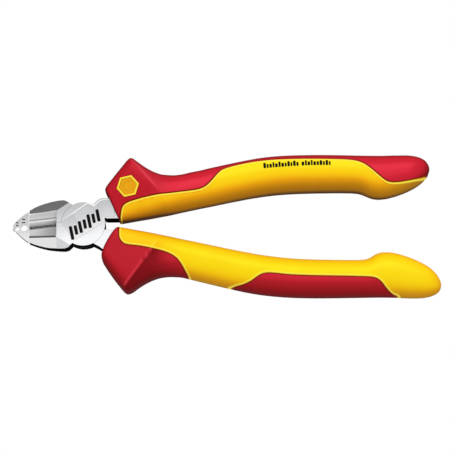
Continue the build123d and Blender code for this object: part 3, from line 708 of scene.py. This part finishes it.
M_INK = plastic("print_ink", [(0.0, (0.008, 0.008, 0.008)), (0.9, (0.010, 0.009, 0.009))],
                (0.02, 0.02, 0.02), 0.5, bump=0.0, coat=0.0)

# ---- steel parts ----------------------------------------------------------------------
for name, mat in (("front_half", M_STEEL), ("rear_half", M_STEEL), ("pivot_rivet", M_RIVET),
                  ("upper_core", M_CORE), ("lower_core", M_CORE)):
    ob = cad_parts[name]
    ob.data.materials.clear()
    ob.data.materials.append(mat)
for name, width in (("front_half", 0.12), ("rear_half", 0.12), ("pivot_rivet", 0.06)):
    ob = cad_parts[name]
    bv = ob.modifiers.new("edge", "BEVEL")
    bv.width = width * MM
    bv.segments = 2
    bv.limit_method = "ANGLE"
    bv.angle_limit = math.radians(24)
    bv.harden_normals = False

# ---- handle covers --------------------------------------------------------------------
BODY_H = [(-52, 7.6), (-26, 7.65), (-16, 7.5), (-4, 7.75), (8, 8.3), (20, 8.7), (34, 8.8),
          (48, 8.75), (58, 8.55), (66, 8.2), (74, 7.7), (80, 7.1), (86, 6.6)]
r_u = 1 / math.hypot(7.3, 6.4)
r_l = 1 / math.hypot(8.8, 6.4)
upper = Grip(UPPER_OUTER, UPPER_INNER, 0.0, ((-35.1, 22.9, 8.9), (-16.06, -14.08, 163.0)),
             (-35.1, 22.9, 7.3 * r_u, 6.4 * r_u), -25.5, BODY_H, 1)
lower = Grip(LOWER_OUTER, LOWER_INNER, 0.7, ((-34.5, -16.5, 8.9), (-19.36, 14.08, 155.1)),
             (-34.3, -16.2, 8.8 * r_l, -6.4 * r_l), -27.0, BODY_H, -1)

cover_pieces(upper, [(smooth_line(UPPER_SEAM), -1)],
             (["upper_body_moulding", "upper_shell_moulding"], [[1], [0]]),
             [M_YELLOW_U, M_RED_U], "front", [["upper_body"], ["upper_shell"]])
cover_pieces(lower, [(smooth_line(LOWER_SEAM_GUARD), 1), (smooth_line(LOWER_SEAM_BACK), 1)],
             (["lower_body_moulding", "lower_guard_moulding", "lower_back_moulding"],
              [[3], [0, 2], [1]]),
             [M_YELLOW_L, M_RED_L, M_RED_L], "rear", [["lower_body"], ["lower_guard"], ["lower_back"]])

# ---- hexagonal badge on the upper guard -----------------------------------------------
def hex_badge():
    n = Vector((-16.06, -14.08, 163.0)).normalized()
    xa = Vector((1, 0, 16.06 / 163.0)).normalized()
    ya = n.cross(xa)
    cx, cy = -39.35, 15.05
    cz = 8.9 + (16.06 * (cx + 35.1) + 14.08 * (cy - 22.9)) / 163.0
    rings = [(4.6, -0.9), (4.6, 0.30), (4.45, 0.44), (3.95, 0.46), (3.70, 0.40), (3.45, 0.16),
             (2.5, 0.15), (2.35, 0.27), (2.0, 0.28), (1.85, 0.15), (1.0, 0.15), (0.9, 0.25),
             (0.5, 0.26)]
    verts, faces = [], []
    for r, h in rings:
        for k in range(6):
            a = math.radians(12 + 60 * k)
            p = Vector((cx, cy, cz)) + xa * (r * math.cos(a)) + ya * (r * math.sin(a)) + n * h
            verts.append(tuple(p))
    for j in range(len(rings) - 1):
        for k in range(6):
            a, b = j * 6 + k, j * 6 + (k + 1) % 6
            faces.append((a, b, b + 6, a + 6))
    faces.append(tuple((len(rings) - 1) * 6 + k for k in range(6)))
    faces.append(tuple(reversed(range(6))))
    ob = mesh_object("hex_badge", verts, faces, M_BADGE, smooth=False)
    ob.data.materials.append(M_BADGE_RIM)
    ob.data.materials.append(M_BADGE_LINE)
    for j, slot in ((0, 2), (1, 1), (2, 1), (3, 1), (4, 2), (6, 2), (8, 2), (10, 2)):
        for k in range(6):
            ob.data.polygons[j * 6 + k].material_index = slot
    bv = ob.modifiers.new("edge", "BEVEL")
    bv.width = 0.1 * MM
    bv.segments = 2
    bv.limit_method = "ANGLE"
    bv.angle_limit = math.radians(15)
    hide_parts("guard_badge")
    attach(ob, "front")


hex_badge()

# ---- printed marks: plain bars in place of any lettering --------------------------------
def top_z(grip, x, y):
    """Height of the skin over a plan point of a cover, by walking its sections."""
    rows = grip.probe
    d = (rows[:, 0] - x) ** 2 + (rows[:, 1] - y) ** 2
    k = np.argsort(d)[:6]
    w = 1 / (d[k] + 1e-4)
    return float((rows[k, 2] * w).sum() / w.sum())


def mark(name, cx, cy, length, width, angle, height, mat, body, lift=0.05, thick=0.15):
    """A thin rounded bar of print draped over the surface given by height(x, y)."""
    c, s = math.cos(angle), math.sin(angle)
    nl, nw = 9, 5
    r = width / 2
    top = []
    for i in range(nl):
        u = -math.cos(math.pi * i / (nl - 1)) * length / 2
        end = max(0.0, abs(u) - (length / 2 - r * 0.5)) / (r * 0.5)
        half = r * (0.5 + 0.5 * math.sqrt(max(0.0, 1 - end * end)))
        for j in range(nw):
            v = half * (-1 + 2 * j / (nw - 1))
            x, y = cx + u * c - v * s, cy + u * s + v * c
            top.append((x, y, height(x, y) + lift))
    n = len(top)
    low = [(x, y, z - thick) for x, y, z in top]
    faces = []
    for i in range(nl - 1):
        for j in range(nw - 1):
            a = i * nw + j
            faces.append((a, a + nw, a + nw + 1, a + 1))
            faces.append((n + a, n + a + 1, n + a + nw + 1, n + a + nw))
    loop = [j for j in range(nw)] + [i * nw + nw - 1 for i in range(1, nl)]
    loop += [(nl - 1) * nw + j for j in range(nw - 2, -1, -1)] + [i * nw for i in range(nl - 2, 0, -1)]
    for a, b in zip(loop, loop[1:] + loop[:1]):
        faces.append((a, b, n + b, n + a))
    ob = mesh_object(name, top + low, faces, mat, smooth=False)
    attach(ob, body)
    return ob


upper_rows = upper.sections(500, 120)
upper.probe = upper_rows[(upper_rows[:, :, 2] > 0)]
# a row of small blocks along the back of the upper handle
x, k = 14.6, 0
while x < 41.0:
    w = (1.0, 0.72, 0.95, 0.66, 0.98, 0.82)[k % 6]
    if k == 12:
        x += 0.9
    t = (x - 14.6) / 26.4
    base = 22.2 + 1.25 * math.sin(math.pi * 0.5 * min(1.0, t * 1.1))
    tall = (2.3, 1.65, 1.65, 2.2, 1.65)[k % 5]
    mark("block_%02d" % k, x + w / 2, base + tall / 2, tall, w, math.radians(90 + 4 * (1 - t)),
         lambda a, c: top_z(upper, a, c), M_INK, "front", lift=0.07, thick=0.25)
    x += w + 0.34
    k += 1

# seven plain slanted bars on the raised band of the joint
ang = math.radians(34)
for k in range(7):
    s0 = (k - 3) * 2.1
    cx = -56.5 + s0 * math.cos(ang)
    cy = 0.1 + s0 * math.sin(ang)
    mark("joint_bar_%d" % k, cx, cy, (5.6, 3.8, 4.8, 3.8, 5.6, 3.8, 5.0)[k], 1.3,
         ang + math.radians(68),
         lambda a, c: min(5.5, 5.5 + ((a + 57.2 + 0.82) * 0.82 + (c - 0.3 + 0.57) * 0.57) / 12.0),
         M_INK, "front", lift=0.03, thick=0.10)


# two short strokes over each stripping hole, where small illegible marks are cut
for k, (x, y, length) in enumerate(((-83.72, 1.30, 1.0), (-83.72, 0.28, 1.0),
                                    (-81.15, 2.72, 1.35), (-81.15, 1.36, 1.35))):
    mark("nose_mark_%d" % k, x, y, length, 0.42, math.radians(4 if k % 2 else -6),
         lambda a, c: 1.7, M_INK, "rear", lift=0.02, thick=0.08)

# ---- stage, light, camera -------------------------------------------------------------
world = bpy.data.worlds.new("studio")
bpy.context.scene.world = world
world.use_nodes = True
wt = world.node_tree
tc = wt.nodes.new("ShaderNodeTexCoord")
sp = wt.nodes.new("ShaderNodeSeparateXYZ")
wt.links.new(tc.outputs["Generated"], sp.inputs["Vector"])
sky = wt.nodes.new("ShaderNodeMapRange")
sky.inputs["From Min"].default_value = -1.0
sky.inputs["From Max"].default_value = 1.0
wt.links.new(sp.outputs["Z"], sky.inputs["Value"])
tone = ramp(wt, sky.outputs["Result"], [(0.0, grey(1.0)), (0.38, grey(1.0)), (0.52, grey(0.66)),
                                        (0.80, grey(0.74)), (1.0, grey(0.80))])
wt.links.new(tone.outputs["Color"], wt.nodes["Background"].inputs["Color"])
wt.nodes["Background"].inputs["Strength"].default_value = 1.0


def area(name, loc, target, size, size_y, power):
    li = bpy.data.lights.new(name, "AREA")
    li.shape = "RECTANGLE"
    li.size, li.size_y = size, size_y
    li.energy = power
    ob = bpy.data.objects.new(name, li)
    ob.location = loc
    ob.rotation_euler = (Vector(target) - Vector(loc)).to_track_quat("-Z", "Y").to_euler()
    bpy.context.scene.collection.objects.link(ob)
    return ob


area("key", (0.05, 0.75, 1.0), (0, 0, 0), 1.5, 0.9, 6.0)

TILT = math.radians(10)
FRAME_W = 0.1816
LENS = 200.0
dist = FRAME_W * LENS / 36.0
cam_data = bpy.data.cameras.new("camera")
cam_data.lens = LENS
cam_data.sensor_width = 36.0
cam_data.clip_end = 20
cam = bpy.data.objects.new("camera", cam_data)
aim = Vector((0.0001, -0.0001, Z_MID * MM))
cam.location = aim + Vector((0, -math.sin(TILT), math.cos(TILT))) * dist
cam.rotation_euler = (aim - cam.location).to_track_quat("-Z", "Y").to_euler()
bpy.context.scene.collection.objects.link(cam)
bpy.context.scene.camera = cam
bpy.context.scene.view_settings.view_transform = "Standard"
